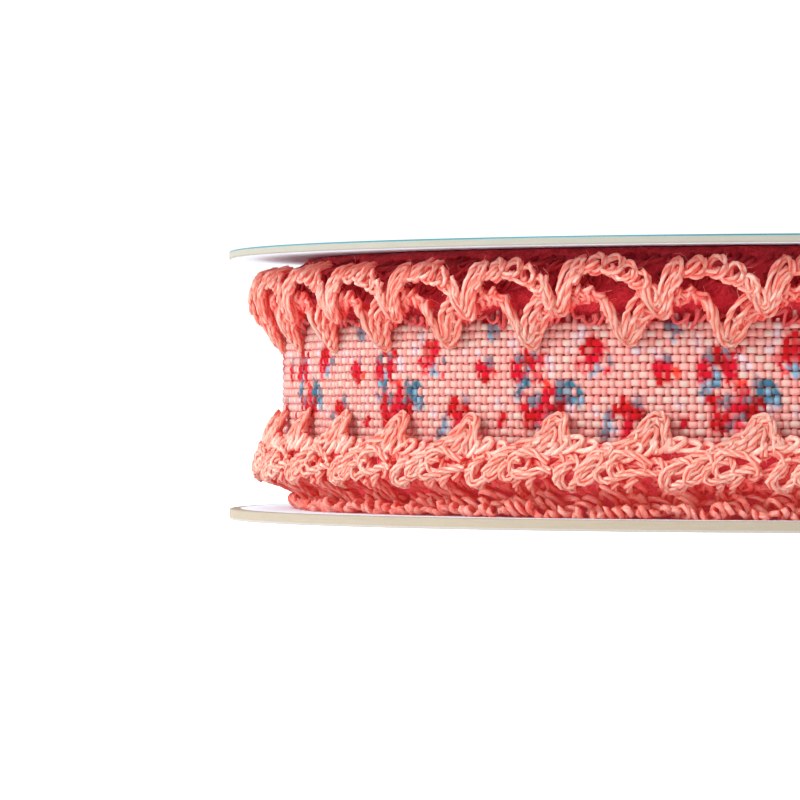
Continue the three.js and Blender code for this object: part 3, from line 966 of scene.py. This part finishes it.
innerLower.add(stitched(foldGuide, wide=1.0, high=-0.6, deep=0.35, seed=51, lean=0.5, rough=0.35),
               tone=0.5, step=0.36, below=1.3)
lowerInner = makeYarn(innerLower, "lowerInnerTurns", ply=0.29, sides=3, shade=12.0, finish=lowCotton,
                      **singlePly)
print("inner turns made")


heartSizes = {"inner": 46.0, "waves": ((1.0, 39), (0.7, 78), (0.6, 131))}  # waves as (strength, count)


def ringBody(name, profile, count, material, bump, seed):
    # a closed ring from an outer profile to a plain inner one
    draw = np.random.default_rng(seed)
    radii, heights = np.array(profile).T
    turn = fullTurn * np.arange(count) / count
    wave = np.zeros((count, len(profile)))
    for strength, waves in heartSizes["waves"]:
        wave += strength * np.sin(waves * turn[:, None] + draw.uniform(0, anyTurn, len(profile))[None, :])
    outer = radii[None, :] + bump * wave / 2
    inner = heartSizes["inner"]
    points = []
    for k, angle in enumerate(turn):
        for r, h in [(inner, heights[0])] + list(zip(outer[k], heights)) + [(inner, heights[-1])]:
            points.append((r * math.cos(angle) * mm, r * math.sin(angle) * mm, (h + innerFace) * mm))
    rows = len(profile) + 2
    faces = []
    for k in range(count):
        after = (k + 1) % count
        for row in range(rows):
            up = (row + 1) % rows
            faces.append((k * rows + row, after * rows + row, after * rows + up, k * rows + up))
    mesh = meshFrom(name, points, faces)
    mesh.materials.append(material)
    for face in mesh.polygons:
        face.use_smooth = True
    return newObject(name, mesh)


# the turns further in as solid rings, dark crimson as painted shade
# outer profiles as (radius, height)
upperHeart = ringBody("upperHeart", [
    (54.0, 16.1), (54.9, 17.0), (55.2, 18.2), (55.0, 19.4), (54.4, 20.6), (53.6, 21.6), (53.0, 22.1),
], 312, upperTurnsShadedCotton, bump=0.4, seed=71)
lowerHeart = ringBody("lowerHeart", [
    (52.6, 0.05), (53.1, 0.6), (53.6, 1.5), (54.6, 2.4), (56.0, 3.1), (56.4, 4.0), (56.4, 5.0),
    (56.1, 5.7), (55.9, 6.05),
], 468, lowerTurnsShadedCotton, bump=0.5, seed=72)
# a dark sheet behind the weave, painted shade where its gaps show only shade
tapeHeart = ringBody("tapeHeart", [
    (54.6, 5.95), (54.9, 6.3), (54.92, 9.0), (54.92, 13.0), (54.9, 15.7), (54.6, 16.05),
], 249, tapeShadowSheet, bump=0.0, seed=73)


# the woven tape

def profileNode(tree, back, front, thick):  # a flat-backed thread, wider at the back than in front
    shape = addNode(tree, "GeometryNodeCurvePrimitiveQuadrilateral", {
        "Bottom Width": times(tree, back, 2.0), "Top Width": times(tree, front, 2.0),
        "Height": times(tree, thick, 2.0), "Offset": 0.0}, mode="TRAPEZOID")
    quarter = (0.0, 0.0, -math.pi / 2)
    return addNode(tree, "GeometryNodeTransform", {"Geometry": shape, "Rotation": quarter})


def threadTree(name, isWarp):
    # every thread has two points at each crossing, on top of its float or beneath the next thread
    tree, given, leave = newTree(name, (
        "Radius", "Lowest Row", "Row Pitch", "Wave", "Flat Share", "Half Width", "Half Front",
        "Half Thickness", "Overhang"), ("Rows", "Columns", "Seed"))
    if isWarp:
        start = addNode(tree, "GeometryNodeCurvePrimitiveCircle", {
            "Resolution": times(tree, given["Columns"], 2.0), "Radius": given["Radius"]})
    else:
        line = addNode(tree, "GeometryNodeCurvePrimitiveLine")
        ends = plus(tree, times(tree, given["Rows"], 2.0), 2.0)
        start = addNode(tree, "GeometryNodeResampleCurve", {"Curve": line, "Count": ends}, mode="COUNT")
    copies = addNode(tree, "GeometryNodeDuplicateElements", {
        "Geometry": start, "Amount": given["Rows" if isWarp else "Columns"]}, domain="SPLINE")
    number = copies.outputs["Duplicate Index"]
    index = addNode(tree, "GeometryNodeSplineParameter").outputs["Index"]
    if not isWarp:
        index = minus(tree, index, 1.0)
    crossing = maths(tree, "FLOOR", divided(tree, index, 2.0))
    isSecond = minus(tree, index, times(tree, crossing, 2.0))
    aside = times(tree, minus(tree, times(tree, isSecond, 2.0), 1.0), given["Flat Share"])
    above = maths(tree, "COSINE", times(tree, plus(tree, crossing, number), math.pi))
    if isWarp:
        turn = divided(tree, times(tree, plus(tree, crossing, aside), fullTurn), given["Columns"])
        level = plus(tree, given["Lowest Row"], times(tree, number, given["Row Pitch"]))
    else:
        above = times(tree, above, -1.0)
        turn = divided(tree, times(tree, number, fullTurn), given["Columns"])
        top = minus(tree, given["Rows"], 1.0)
        inside = maths(tree, "MINIMUM", maths(tree, "MAXIMUM", crossing, 0.0), top)
        past = minus(tree, crossing, inside)
        chance = addNode(tree, "FunctionNodeRandomValue", {"ID": number, "Seed": given["Seed"]},
                         data_type="FLOAT")
        isTop = maths(tree, "GREATER_THAN", past, 0.0)
        share = plus(tree, chance.outputs[1], tapeSizes["leastTuft"])
        tuft = times(tree, times(tree, given["Overhang"], isTop), share)
        level = plus(tree, given["Lowest Row"], times(tree, plus(tree, inside, aside), given["Row Pitch"]))
        level = plus(tree, level, times(tree, past, tuft))
    radius = plus(tree, given["Radius"], times(tree, above, given["Wave"]))
    outX = maths(tree, "COSINE", turn)
    outY = maths(tree, "SINE", turn)
    # how high the thread rides at each crossing, kept for its painted shade where it dives
    crownShading = stored(tree, copies, "crownShading", ranged(tree, above, tapeSizes["crownFrom"], 1.0))
    place = combined(tree, times(tree, radius, outX), times(tree, radius, outY), level)
    moved = addNode(tree, "GeometryNodeSetPosition", {"Geometry": crownShading, "Position": place})
    facing = addNode(tree, "GeometryNodeSetCurveNormal", {
        "Curve": moved, "Normal": combined(tree, outX, outY)}, mode="FREE")
    section = profileNode(tree, given["Half Width"], given["Half Front"], given["Half Thickness"])
    tube = addNode(tree, "GeometryNodeCurveToMesh", {
        "Curve": facing, "Profile Curve": section, "Fill Caps": True})
    if not isWarp:
        taper = times(tree, tapeSizes["endTaper"], maths(tree, "ABSOLUTE", past))
        feed(tree, minus(tree, 1.0, taper), tube, "Scale")
    return closeTree(tree, tube, given, leave)


rowPitch = (tapeSizes["high"] - tapeSizes["low"]) / tapeSizes["rows"]


def makeThreads(name, isWarp, material):
    kind = "warp" if isWarp else "weft"
    carrier = newObject(name + "Carrier", meshFrom(name + "Carrier", [(0, 0, 0)]))
    lowest = innerFace + tapeSizes["low"] + rowPitch / 2
    return shaped(name, carrier, threadTree(name + "Weave", isWarp), {
        "Radius": tapeSizes["middle"] * mm, "Lowest Row": lowest * mm, "Row Pitch": rowPitch * mm,
        "Rows": tapeSizes["rows"], "Columns": tapeSizes["columns"], "Wave": tapeSizes[kind + "Wave"] * mm,
        "Flat Share": tapeSizes[kind + "Flat"], "Half Width": tapeSizes[kind + "Wide"] * mm,
        "Half Front": tapeSizes[kind + "Front"] * mm, "Half Thickness": tapeSizes[kind + "Thick"] * mm,
        "Overhang": tapeSizes["tuft"] * mm, "Seed": tapeSizes["seed"], "Material": material})


warpThreads = makeThreads("warpThreads", True, warpCotton)
weftThreads = makeThreads("weftThreads", False, weftCotton)

# how the print repeats, how ragged it is, which crossings stay bare or take less dye, and the cloth's tint
printRepeat = {
    "count": 20, "phase": -14.2, "ragged": 0.2, "spread": 1.35,
    "bare": 0.03, "weakUpTo": 0.23, "weak": 0.3,
    "warpBlush": 0.35, "weftBlush": 0.75, "blushSpread": 0.5, "lightSpread": 0.08,
    "uneven": 0.045, "spareRows": 2,
}
dyes = {
    "ground": (185, 164, 154), "blush": (192, 131, 125), "red": (158, 0, 6), "crimson": (168, 0, 32),
    "rose": (206, 66, 80), "dark": (120, 0, 4), "teal": (10, 92, 112), "sky": (96, 144, 166),
    "slate": (92, 100, 114), "mist": (176, 168, 176), "orange": (208, 58, 40),
}
# the print's dots, charted one by one, as (along, height, radius, dye)
printSpots = [
    (-2.1, 13.1, 0.4, "slate"), (-1.3, 13.3, 0.5, "red"), (-1.25, 12.7, 0.45, "dark"),
    (-0.65, 13.4, 0.3, "slate"), (-0.3, 12.6, 0.5, "crimson"), (-0.35, 12.0, 0.4, "crimson"),
    (-0.2, 11.5, 0.45, "crimson"), (0.35, 13.5, 0.35, "red"), (-2.3, 12.5, 0.45, "crimson"),
    (-2.5, 11.8, 0.4, "crimson"), (-1.95, 11.6, 0.35, "crimson"), (0.75, 13.0, 0.35, "mist"),
    (1.15, 12.3, 0.3, "mist"), (-1.35, 11.7, 0.35, "sky"), (-1.35, 10.95, 0.35, "teal"),
    (-2.0, 10.75, 0.4, "sky"), (-2.1, 10.3, 0.4, "teal"), (-2.6, 10.1, 0.3, "slate"),
    (-2.5, 9.7, 0.3, "mist"), (-1.55, 9.65, 0.5, "red"), (-0.75, 9.5, 0.35, "slate"),
    (-0.3, 9.8, 0.3, "slate"), (-1.55, 8.8, 0.35, "crimson"), (0.7, 10.9, 0.3, "orange"),
    (0.9, 10.5, 0.4, "crimson"), (0.95, 10.1, 0.4, "crimson"), (0.45, 9.6, 0.5, "crimson"),
    (0.9, 9.2, 0.35, "crimson"), (1.45, 9.6, 0.3, "slate"), (-0.1, 8.8, 0.45, "crimson"),
    (0.5, 8.7, 0.4, "crimson"), (1.4, 8.7, 0.5, "dark"), (1.8, 8.6, 0.45, "red"), (2.2, 9.4, 0.6, "dark"),
    (2.2, 8.7, 0.5, "red"), (1.95, 8.2, 0.4, "orange"), (1.0, 8.25, 0.35, "slate"),
    (0.5, 8.2, 0.3, "slate"), (-0.95, 7.9, 0.6, "red"), (-0.8, 7.4, 0.45, "dark"),
    (-1.3, 7.6, 0.4, "red"), (-0.2, 7.4, 0.35, "slate"), (0.5, 7.3, 0.45, "rose"),
    (0.95, 7.2, 0.35, "rose"), (0.35, 7.9, 0.3, "rose"), (1.95, 11.0, 0.4, "slate"),
    (2.3, 10.3, 0.5, "teal"), (2.95, 10.9, 0.4, "teal"), (2.9, 10.3, 0.35, "sky"),
    (3.5, 10.5, 0.35, "teal"), (3.7, 10.0, 0.4, "teal"), (3.1, 9.7, 0.4, "teal"),
    (3.65, 9.5, 0.45, "sky"), (3.9, 9.2, 0.3, "slate"), (2.9, 8.9, 0.35, "mist"),
    (3.8, 12.7, 0.4, "crimson"), (3.2, 13.8, 0.3, "mist"), (5.0, 12.6, 0.45, "crimson"),
    (4.75, 13.7, 0.6, "red"), (5.1, 14.2, 0.6, "red"), (5.6, 13.8, 0.5, "crimson"),
    (5.2, 13.1, 0.55, "crimson"), (5.3, 12.2, 0.45, "sky"), (6.7, 12.8, 0.35, "slate"),
    (6.5, 12.1, 0.3, "rose"), (-8.2, 13.7, 0.3, "mist"), (-6.5, 13.4, 0.3, "mist"),
    (-6.3, 12.2, 0.5, "crimson"), (-5.6, 12.3, 0.4, "crimson"), (-5.9, 11.4, 0.45, "red"),
    (-5.5, 12.9, 0.35, "slate"), (-4.8, 11.8, 0.3, "orange"), (-4.5, 9.4, 0.3, "mist"),
    (-5.1, 15.5, 0.6, "slate"), (-5.1, 14.9, 0.3, "sky"), (-2.9, 14.4, 0.35, "mist"),
    (8.0, 9.3, 0.5, "red"), (7.5, 8.75, 0.4, "red"), (8.5, 8.8, 0.5, "red"), (-8.0, 8.7, 0.5, "red"),
    (-7.9, 8.2, 0.4, "dark"), (-8.1, 9.5, 0.4, "slate"), (8.4, 8.1, 0.45, "crimson"),
    (8.3, 7.4, 0.5, "crimson"), (7.8, 6.9, 0.4, "rose"), (6.7, 8.3, 0.3, "slate"), (6.8, 7.5, 0.4, "sky"),
    (7.2, 7.3, 0.35, "mist"), (6.2, 6.8, 0.4, "slate"), (-4.0, 8.1, 0.35, "red"),
    (-4.3, 7.6, 0.3, "crimson"), (4.3, 11.8, 0.25, "rose"), (3.9, 15.0, 0.35, "mist"),
    (5.4, 8.7, 0.3, "mist"),
]


def dyeThreads(piece, isWarp, seed):
    mesh = piece.data
    count = len(mesh.vertices)
    spots = np.empty(count * 3)
    mesh.vertices.foreach_get("co", spots)
    spots = spots.reshape(-1, 3) / mm
    along = np.arctan2(spots[:, 0], -spots[:, 1]) * tapeSizes["radius"]
    height = spots[:, 2] - innerFace
    columnPitch = fullTurn * tapeSizes["radius"] / tapeSizes["columns"]
    row = np.round((height - tapeSizes["low"]) / rowPitch - 0.5).astype(int)
    column = np.round(along / columnPitch).astype(int) % tapeSizes["columns"]
    draw = np.random.default_rng(seed)
    spare = printRepeat["spareRows"]
    shape = (tapeSizes["rows"] + 2 * spare, tapeSizes["columns"])
    cell = (np.clip(row + spare, 0, shape[0] - 1), column)
    ragged = printRepeat["ragged"]
    slipX = draw.uniform(-ragged, ragged, shape)[cell]
    slipY = draw.uniform(-ragged, ragged, shape)[cell]
    tint = draw.uniform(-1, 1, shape)[cell]
    taken = draw.uniform(0, 1, shape)[cell]
    length = fullTurn * tapeSizes["radius"] / printRepeat["count"]
    start = math.radians(printRepeat["phase"]) * tapeSizes["radius"]
    x = (along + slipX - start + length / 2) % length - length / 2
    y = height + slipY
    colour = {dye: np.array(fromScreen(*screen)) for dye, screen in dyes.items()}
    blush = printRepeat["warpBlush" if isWarp else "weftBlush"] + printRepeat["blushSpread"] * tint
    share = np.clip(blush, 0, 1)[:, None]
    cloth = colour["ground"] * (1 - share) + colour["blush"] * share
    strong = (1 - printRepeat["weak"] * (taken < printRepeat["weakUpTo"]))[:, None]
    best = np.ones(count)
    for spotX, spotY, size, dye in printSpots:
        gapX = (x - spotX + length / 2) % length - length / 2
        near = np.hypot(gapX, y - spotY) / (size * printRepeat["spread"])
        hit = (near < best) & (taken > printRepeat["bare"])
        cloth[hit] = (cloth * (1 - strong) + colour[dye] * strong)[hit]
        best[hit] = near[hit]
    cloth[:, :3] = np.clip(cloth[:, :3] * (1 + printRepeat["lightSpread"] * tint)[:, None], 0, 1)
    layer = mesh.attributes.new("print", "FLOAT_COLOR", "POINT")
    layer.data.foreach_set("color", cloth.astype(np.float32).ravel())
    # each crossing sits a little off its even place
    slip = draw.uniform(-1, 1, shape)[cell] * printRepeat["uneven"]
    if isWarp:
        spots[:, 2] += slip
    else:
        turn = slip / tapeSizes["radius"]
        flatX, flatY = spots[:, :2].T.copy()
        spots[:, 0] = flatX * np.cos(turn) - flatY * np.sin(turn)
        spots[:, 1] = flatX * np.sin(turn) + flatY * np.cos(turn)
    mesh.vertices.foreach_set("co", (spots * mm).ravel())
    mesh.update()


dyeThreads(warpThreads, True, 81)
dyeThreads(weftThreads, False, 82)
print("woven tape made and printed")


# each piece rides on the root body and hides the frame parts it replaces

def seat(piece, slot, *nodes):
    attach(piece, "root")
    if nodes:
        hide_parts(*nodes)


seat(lowerCard, "plain_card", "flange_lower")
seat(upperCard, "printed_card", "flange_upper")
seat(warpThreads, "printed_tape", "tape_roll")
seat(weftThreads, "printed_tape")
seat(tapeHeart, "printed_tape")
seat(upperArches, "crochet_yarn", "lace_upper")
seat(upperNet, "crochet_yarn")
seat(upperFibres, "crochet_yarn")
seat(upperSelvedge, "printed_tape")
seat(upperInner, "crochet_yarn")
seat(upperHeart, "crochet_yarn")
seat(lowerNet, "crochet_yarn", "lace_lower")
seat(lowerArches, "crochet_yarn")
seat(lowerFolds, "crochet_yarn")
seat(lowerFibres, "crochet_yarn")
seat(lowerInner, "crochet_yarn")
seat(lowerHeart, "crochet_yarn")


# floor, light and camera

# half the floor's width in metres, the finish and glow of the floor, and the strengths of the lights
stageSizes = {
    "half": 12.0, "white": 0.95, "roughness": 0.9, "glow": 0.6, "world": 0.9, "backdrop": 1.1,
    "sun": 3.2, "sunSpread": 28.0, "side": 0.9, "sideSpread": 50.0,
}
white = (1.0, 1.0, 1.0, 1.0)
pale = stageSizes["white"]
half = stageSizes["half"]
floorMaterial, floorTree, floorShader = newMaterial("paleFloor")
feedAll(floorTree, floorShader, {
    "Base Color": (pale, pale, pale, 1.0), "Roughness": stageSizes["roughness"], "Emission Color": white,
    "Emission Strength": stageSizes["glow"]})
floorMesh = meshFrom("floor", [(-half, -half, 0), (half, -half, 0), (half, half, 0), (-half, half, 0)],
                     [(0, 1, 2, 3)])
floorMesh.materials.append(floorMaterial)
floor = newObject("floor", floorMesh)

world = bpy.data.worlds.new("studio")
bpy.context.scene.world = world
world.use_nodes = True
worldTree = world.node_tree
worldTree.nodes.clear()
ray = addNode(worldTree, "ShaderNodeLightPath")
seen = addNode(worldTree, "ShaderNodeBackground", {"Color": white, "Strength": stageSizes["backdrop"]})
lit = addNode(worldTree, "ShaderNodeBackground", {"Color": white, "Strength": stageSizes["world"]})
choice = addNode(worldTree, "ShaderNodeMixShader", {0: ray.outputs["Is Camera Ray"], 1: lit, 2: seen})
addNode(worldTree, "ShaderNodeOutputWorld", {"Surface": choice})


def softSun(name, azimuth, elevation, spread, strength):
    data = bpy.data.lights.new(name, "SUN")
    data.angle = math.radians(spread)
    data.energy = strength
    newObject(name, data).rotation_euler = (math.radians(90 - elevation), 0, math.radians(azimuth))


softSun("keyLight", azimuth=-64, elevation=36, spread=stageSizes["sunSpread"], strength=stageSizes["sun"])
softSun("sideLight", azimuth=-112, elevation=14, spread=stageSizes["sideSpread"],
        strength=stageSizes["side"])

# the camera's distance from the axis, height over the lower disc's inner face, angles and focal length
view = {"distance": 520.8, "height": 9.64, "turn": 4.944, "tilt": 0.0013, "lens": 260.75}
cameraData = bpy.data.cameras.new("camera")
cameraData.sensor_width = 36.0
cameraData.lens = view["lens"]
cameraData.clip_start = 0.01
cameraData.clip_end = 100.0
cameraData.dof.use_dof = False
camera = newObject("camera", cameraData)
camera.location = (0, -view["distance"] * mm, (innerFace + view["height"]) * mm)
camera.rotation_euler = (math.radians(90 + view["tilt"]), 0, math.radians(view["turn"]))
bpy.context.scene.camera = camera
bpy.context.scene.view_settings.view_transform = "Standard"
print("stage, lights and camera set")
